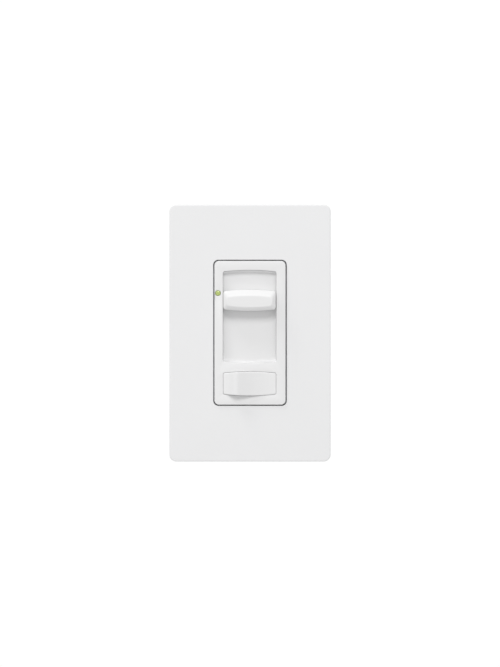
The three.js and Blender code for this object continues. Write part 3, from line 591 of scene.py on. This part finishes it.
def track_panel():
    """Smooth floor of the recess, swept up into a ramp at each end."""
    half_width = RECESS["half_width"] - PANEL["margin"]
    floor = RECESS["floor"]
    outline = bowed_outline(half_width, RECESS["bottom"], RECESS["top"], PANEL["corner"])
    outline = moved(outline, RECESS["x"])
    half = len(outline) // 2
    low_edge = outline[:half]
    high_edge = list(reversed(outline[half:]))
    ramp = PANEL["ramp"]

    def ramp_profile(lip):
        """Steps (run, depth) from a lip down to the floor, steep first and then level."""
        steps = []
        for angle in RAMP_DEGREES:
            turn = math.radians(angle)
            bend = PANEL["bend"]
            run = ramp * (bend * (1 - math.cos(turn)) + (1 - bend) * angle / 90)
            steps.append((lip["clear"] + run, lip["y"] + (floor - lip["y"]) * math.sin(turn)))
        return steps

    rows = []
    for run, depth in ramp_profile(LOW_LIP):
        rows.append([Vector((point.x, depth, point.y + run)) for point in low_edge])
    for share in PANEL_ROWS:
        row = []
        for low, high in zip(low_edge, high_edge):
            tuck = PANEL["tuck"] * max(low.x / half_width, 0) ** END_POWER
            row.append(Vector((low.x + tuck, floor, low.y + ramp + (high.y - low.y - 2 * ramp) * share)))
        rows.append(row)
    for run, depth in reversed(ramp_profile(HIGH_LIP)):
        rows.append([Vector((point.x, depth, point.y - run)) for point in high_edge])
    behind = Vector((0, PANEL["thickness"], 0))
    rings = [row + [point + behind for point in reversed(row)] for row in rows]
    make_piece("recess_floor", solid_loft(rings, strip_cap), INSERT_WHITE, ["track_panel"], angle=60)


def knob():
    """Slider cap with four chamfers, and the two thin arms that run behind the recess walls."""
    low, high = KNOB_LOW.z, KNOB_HIGH.z
    front, back = KNOB_LOW.y, RECESS["floor"] - KNOB["floor_gap"]
    corner = KNOB["corner"]
    # Shares of the chamfer, with the depths that they are reached at.
    corners = [(0, back), (0, front + KNOB["slope"]), (1, front), (KNOB_FACE["reach"], front)]
    rings = []
    for share, y in rounded_profile(corners, KNOB["edge"]):
        outline = bowed_outline(
            KNOB["half_width"] - KNOB_CHAMFER["side"] * share,
            low + KNOB_CHAMFER["lower"] * share,
            high - KNOB_CHAMFER["upper"] * share,
            corner + (KNOB_FACE["corner"] - corner) * min(share, 1),
            bow=1 / ((1 - share) / BOW_RADIUS + share / KNOB_FACE["bow"]),
        )
        rings.append(at_depth(moved(outline, KNOB["x"]), y))
    parts = [solid_loft(rings, strip_cap)]
    middle = centre_mm("slider_knob")[2]
    bottom, top = middle - ARM["half_height"], middle + ARM["half_height"]
    for side in (-1, 1):
        tab = sorted((side * (KNOB["half_width"] - OVERCUT), side * ARM["outer"]))
        arm = sorted((side * ARM["inner"], side * ARM["outer"]))
        parts.append(cuboid(*tab, ARM["front"], ARM["tab_back"], bottom, top))
        parts.append(cuboid(*arm, ARM["tab_back"] + ARM_SEAM, ARM["back"], bottom, top))
    make_piece("slider_cap", joined(*parts), INSERT_WHITE, ["slider_knob"], "slider")


def paddle():
    """Rocker with a curved face and round ends, on its post, turned to its resting side."""
    half_width, shift = PADDLE["half_width"], PADDLE["x"]
    bottom, top = PADDLE["bottom"], PADDLE["top"]
    _, pin_y, pin_z = centre_mm("rocker_pin")
    level = INSERT_FRONT - pin_y
    lean = math.tan(math.radians(PADDLE_TILT))

    def face_y(x):
        """Depth of the face: a ridge left of the middle, round on its left and hollow on its right."""
        away = x - RIDGE["x"]
        if away < 0:
            share = math.exp(-(away / RIDGE["left"]) ** 2)
        else:
            run = math.hypot(away, RIDGE["crest"]) - RIDGE["crest"]
            share = max(1 - run / RIDGE["right"], 0) ** RIDGE["power"]
        return level - RIDGE["rise"] * share - lean * x

    def ring(inset, behind=None):
        """Outline a little behind the face, or at the flat back, with its ends on a circle about the pin."""
        width, columns = half_width - inset, PADDLE["columns"]
        points = []
        for p in bowed_outline(width, bottom + inset, top - inset, PADDLE["corner"], columns):
            x = p.x + shift
            y = PADDLE_BACK if behind is None else face_y(x) + behind
            radius = half_width + math.copysign(1, p.x) * shift
            squeeze = 1 - math.sqrt(radius ** 2 - y ** 2) / radius
            points.append(Vector((x * (1 - squeeze * (p.x / half_width) ** END_POWER), y, p.y)))
        return points

    rings = [ring(0)]
    rings += [ring(0, behind) for behind in PADDLE_SIDE_ROWS]
    rings += [ring(*place) for place in rounded_profile(PADDLE_EDGE_CORNERS, PADDLE_EDGE, steps=6)]

    post, tall, bore = POST["half_width"], POST["half_height"], POST["bore"]
    depths = (PADDLE_BACK - POST_OVERLAP, POST["back"])
    between = (-bore + POST_SEAM, bore - POST_SEAM)
    walls = [
        cuboid(-post, -bore, *depths, -tall, tall),
        cuboid(bore, post, *depths, -tall, tall),
        cuboid(*between, *depths, -tall, -bore),
        cuboid(*between, *depths, bore, tall),
    ]
    shape = joined(solid_loft(rings, strip_cap), *walls)
    to_pin = Matrix.Translation(Vector((0, pin_y, pin_z)) * MM)
    turn = to_pin @ Matrix.Rotation(math.radians(PADDLE_TILT), 4, "Z")
    make_piece("rocker_cap", shape, INSERT_WHITE, ["rocker_paddle"], "rocker", turn=turn)


def light_pipe():
    """Domed end of the indicator's light pipe, on its stem."""
    x, _, z = centre_mm("light_pipe")
    front, back = PIPE_LOW.y, PIPE_HIGH.y
    shoulder, shoulder_edge = PIPE["shoulder"], PIPE["shoulder_edge"]
    stem, stem_edge = PIPE["stem"], PIPE["stem_edge"]
    profile = []
    for degrees in DOME_DEGREES:
        angle = math.radians(degrees)
        profile.append((PIPE_RADIUS * math.sin(angle), front + PIPE["dome"] * (1 - math.cos(angle))))
    profile += [(PIPE_RADIUS, shoulder - shoulder_edge), (PIPE_RADIUS - shoulder_edge, shoulder)]
    profile += [(stem, shoulder), (stem, back - stem_edge), (stem - stem_edge, back)]
    rings = [at_depth(circle(x, z, radius, PIPE_SIDES), y) for radius, y in profile]
    make_piece("indicator_lens", solid_loft(rings, round_cap), CLEAR_GREEN, ["light_pipe"])


# ---- Screws and the choke's wire ----


def threaded_rod(x, z, y0, y1):
    """Closed rod along Y with a helical ridge."""
    radius, pitch, sides = THREAD["radius"], THREAD["pitch"], THREAD["sides"]
    levels = int((y1 - y0) / pitch * THREAD["per_turn"])
    rings = []
    for level in range(levels + 1):
        y = y0 + (y1 - y0) * level / levels
        fade = min(1, (y1 - y) / (THREAD["fade"] * pitch))
        ring = []
        for step in range(sides):
            angle = 2 * math.pi * step / sides
            phase = (level / THREAD["per_turn"] - step / sides) % 1
            groove = THREAD["depth"] * (1 - abs(2 * phase - 1))
            size = (radius - groove) * (1 - THREAD["taper"] * (1 - fade))
            ring.append(Vector((x + size * math.cos(angle), y, z + size * math.sin(angle))))
        rings.append(ring)
    return solid_loft(rings, round_cap)


def pan_head(x, z, front, back, radius):
    """Pan head with a straight driver slot across it."""
    slot_y = front + (back - front) * PAN_HEAD_SLOT["share"]
    rings = []
    for share, depth in PAN_HEAD:
        y = front + (back - front) * depth
        ring = []
        for place in circle(0, 0, radius * share, PAN_HEAD_SIDES):
            lowered = max(y, slot_y) if abs(place.y) < PAN_HEAD_SLOT["half"] else y
            ring.append(Vector((x + place.x, lowered, z + place.y)))
        rings.append(ring)
    return solid_loft(rings, round_cap)


def threaded_screw(name, node, head_depth):
    """Slotted screw along Y whose head is at the front."""
    low, high = box_mm(node)
    x, _, z = centre_mm(node)
    seat = low.y + head_depth
    head = pan_head(x, z, low.y, seat, (high.x - low.x) / 2)
    make_piece(name, joined(head, threaded_rod(x, z, seat, high.y)), ZINC, [node], angle=40)


def turned_screw(name, node, along_x, size, look):
    """Slotted screw whose head is at its far end: outwards along X, or along +Y."""
    low, high = box_mm(node)
    centre = (low + high) / 2
    head = (high.z - low.z) / 2
    side = math.copysign(1, centre.x)
    near, far = sorted((abs(low.x), abs(high.x))) if along_x else (low.y, high.y)

    def place(across, along, up):
        if along_x:
            return Vector((side * along, centre.y + across, centre.z + up))
        return Vector((centre.x + across, along, centre.z + up))

    shank, depth = size["shank"], size["head_depth"]
    seat = far - depth
    corners = [(TURNED["core"], near), (shank, near), (shank, seat), (head, seat)]
    corners += [(head, far - TURNED["head_side"] * depth), (TURNED["top"] * head, far), (TURNED["core"], far)]
    rings = []
    for radius, along in rounded_profile(corners, TURNED["round"], steps=3):
        rings.append([place(point.x, along, point.y) for point in circle(0, 0, radius, TURNED["sides"])])
    mesh = new_mesh(name, *solid_loft(rings, round_cap), WELD["loft"])
    piece = new_object(name, mesh)
    bottom = far - TURNED_SLOT["share"] * depth
    half = TURNED_SLOT["half"]
    slot, faces = cuboid(-head - OVERCUT, head + OVERCUT, bottom, far + OVERCUT, -half, half)
    cut_with(piece, [([place(*point) for point in slot], faces)])
    settle(piece, look, "root", [node], 40)


def choke_winding():
    """Layer of enamelled wire wound on the choke's core."""
    low, high = box_mm("choke_winding")
    x, _, z = centre_mm("choke_winding")
    wire = WINDING["wire"]
    outer = (high.x - low.x) / 2 - wire
    length = high.y - low.y - 2 * wire
    steps = int(length / (WINDING["spacing"] * wire)) * WINDING["per_turn"]
    curve = bpy.data.curves.new("choke_wire", "CURVE")
    curve.dimensions = "3D"
    curve.bevel_depth = wire * MM
    curve.bevel_resolution = 2
    curve.use_fill_caps = True
    spline = curve.splines.new("POLY")
    spline.points.add(steps)
    for step, point in enumerate(spline.points):
        angle = 2 * math.pi * step / WINDING["per_turn"]
        y = low.y + wire + length * step / steps
        place = Vector((x + outer * math.cos(angle), y, z + outer * math.sin(angle)))
        point.co = (*(place * MM), 1)
    piece = new_object("choke_wire", mesh_of_curve("choke_wire", curve))
    settle(piece, COPPER, "root", ["choke_winding"], 60)


# ---- Carried-over nodes ----

# Material and rounding of each CAD node that stays.
CARRIED = {
    "wallplate_adapter": (INSERT_WHITE, 0.25),
    "slide_carriage": (INSERT_WHITE, 0.15),
    "slide_pot_body": (ZINC, 0.3),
    "slide_pot_wiper": (BLACK, 0.15),
    "rocker_plunger": (BRASS, 0),
    "plunger_spring": (ZINC, 0),
    "rocker_pin": (ZINC, 0.1),
    "contact_seesaw": (BRASS, 0.12),
    "traveller_contact_left": (BRASS, 0),
    "traveller_contact_right": (BRASS, 0),
    "common_contact": (BRASS, 0),
    "switch_frame": (BLACK, 0.25),
    "mounting_strap": (ALUMINIUM, 0.2),
    "screw_washer_upper": (FIBRE, 0.1),
    "screw_washer_lower": (FIBRE, 0.1),
    "ground_screw": (GREEN_STEEL, 0.2),
    "rear_housing": (BLACK, 0.45),
    "terminal_plate_1": (BRASS, 0.15),
    "terminal_plate_2": (BRASS, 0.15),
    "terminal_plate_3": (BRASS, 0.15),
    "circuit_board": (BOARD, 0.1),
    "triac": (BLACK, 0.15),
    "triac_insulator": (THERMAL_PAD, 0.05),
    "triac_screw": (ZINC, 0.1),
    "choke_core": (FERRITE, 0.3),
    "suppression_capacitor": (FILM_YELLOW, 0.6),
    "timing_capacitor": (DIPPED_RED, 0.8),
    "timing_resistor": (LACQUER_TAN, 0.2),
    "diac": (BLUE_GLASS, 0.1),
    "indicator_led": (CLEAR_GREEN, 0),
}
# Faces within the first angle are merged, and edges sharper than the second are rounded.
FLAT_DEGREES = 0.6
EDGE_DEGREES = 30
EDGE_SEGMENTS = 3


def round_edges(node, width):
    """Rounded edges by modifiers, on a mesh that is welded and whose flat faces are dissolved first."""
    weld = node.modifiers.new("weld", "WELD")
    weld.merge_threshold = WELD["carried"] * MM
    flat = node.modifiers.new("flat", "DECIMATE")
    flat.decimate_type = "DISSOLVE"
    flat.angle_limit = math.radians(FLAT_DEGREES)
    edge = node.modifiers.new("edges", "BEVEL")
    edge.width = width * MM
    edge.segments = EDGE_SEGMENTS
    edge.limit_method = "ANGLE"
    edge.angle_limit = math.radians(EDGE_DEGREES)
    edge.harden_normals = True


def dress_carried_nodes():
    """Real materials and rounded edges for the CAD nodes that stay."""
    for name, (look, edge) in CARRIED.items():
        node = frame["nodes"][name]
        node.data.materials.clear()
        node.data.materials.append(look)
        if edge:
            round_edges(node, edge)


# ---- Scene, in metres ----

CAMERA = {"lens": 200, "sensor": 36, "view_height": 0.3092, "z": -0.0002}
LAMP = {"distance": 2.0, "size": 0.8}
# Name, degrees to the right of the front, degrees up, and power in watts.
LAMPS = [
    ("front", 0, 35, 15.0),
    ("upper_left", -60, 60, 10.5),
    ("left", -60, 15, 1.3),
    ("right", 60, 0, 0.4),
]
# Strength of the white surroundings as a light, and as the camera sees them.
WORLD = {"light": 0.545, "seen": 1.02}
FLOOR = {"half": 0.5, "z": -0.34, "roughness": 0.8, "tones": ((0.8, 0.8, 0.8), (0.78, 0.78, 0.78))}


def camera():
    """Long lens, level and straight on."""
    data = bpy.data.cameras.new("camera")
    data.lens = CAMERA["lens"]
    data.sensor_width = CAMERA["sensor"]
    distance = CAMERA["view_height"] * data.lens / data.sensor_width
    view = new_object("camera", data)
    view.location = (0, COVER_LOW.y * MM - distance, CAMERA["z"])
    view.rotation_euler = (math.pi / 2, 0, 0)
    bpy.context.scene.camera = view


def area_light(name, turn, lift, power):
    """Soft round lamp that faces the origin."""
    data = bpy.data.lights.new(name, "AREA")
    data.shape = "DISK"
    data.size = LAMP["size"]
    data.energy = power
    side, up = math.radians(turn), math.radians(lift)
    towards = Vector((math.cos(up) * math.sin(side), -math.cos(up) * math.cos(side), math.sin(up)))
    place = towards * LAMP["distance"]
    light = new_object(name, data)
    light.location = place
    light.rotation_euler = (-place).to_track_quat("-Z", "Y").to_euler()


def world():
    """White surroundings: full white behind the object, softer as a light."""
    sky = bpy.data.worlds.new("studio")
    sky.use_nodes = True
    nodes, links = sky.node_tree.nodes, sky.node_tree.links
    background = nodes["Background"]
    background.inputs["Color"].default_value = (1, 1, 1, 1)
    path = nodes.new("ShaderNodeLightPath")
    level = nodes.new("ShaderNodeMapRange")
    level.inputs["To Min"].default_value = WORLD["light"]
    level.inputs["To Max"].default_value = WORLD["seen"]
    links.new(path.outputs["Is Camera Ray"], level.inputs["Value"])
    links.new(level.outputs["Result"], background.inputs["Strength"])
    bpy.context.scene.world = sky
    bpy.context.scene.view_settings.view_transform = "Standard"


def floor():
    """Pale floor below the view."""
    half, z = FLOOR["half"], FLOOR["z"]
    mesh = bpy.data.meshes.new("floor")
    corners = [(-half, -half, z), (half, -half, z), (half, half, z), (-half, half, z)]
    mesh.from_pydata(corners, [], [(0, 1, 2, 3)])
    look, nodes, links, shader = new_material("floor_paint")
    cloud = noise(nodes, links, object_coordinates(nodes, links), *FLOOR_CLOUD)
    links.new(two_tone(nodes, links, cloud, *FLOOR["tones"]), shader.inputs["Base Color"])
    shader.inputs["Roughness"].default_value = FLOOR["roughness"]
    mesh.materials.append(look)
    ground = new_object("floor", mesh)


cover()
bezel()
track_panel()
knob()
paddle()
light_pipe()
for end in ("upper", "lower"):
    threaded_screw(f"plate_screw_{end}", f"adapter_screw_{end}", PLATE_SCREW_HEAD)
    threaded_screw(f"box_screw_{end}", f"mounting_screw_{end}", BOX_SCREW_HEAD)
for corner in ("upper_left", "upper_right", "lower_left", "lower_right"):
    turned_screw(f"case_screw_{corner}", f"housing_screw_{corner}", False, CASE_SCREW, ZINC)
for number in (1, 2, 3):
    turned_screw(f"wire_screw_{number}", f"terminal_screw_{number}", True, WIRE_SCREW, BRASS)
choke_winding()
dress_carried_nodes()
camera()
for name, turn, lift, power in LAMPS:
    area_light(name, turn, lift, power)
world()
floor()
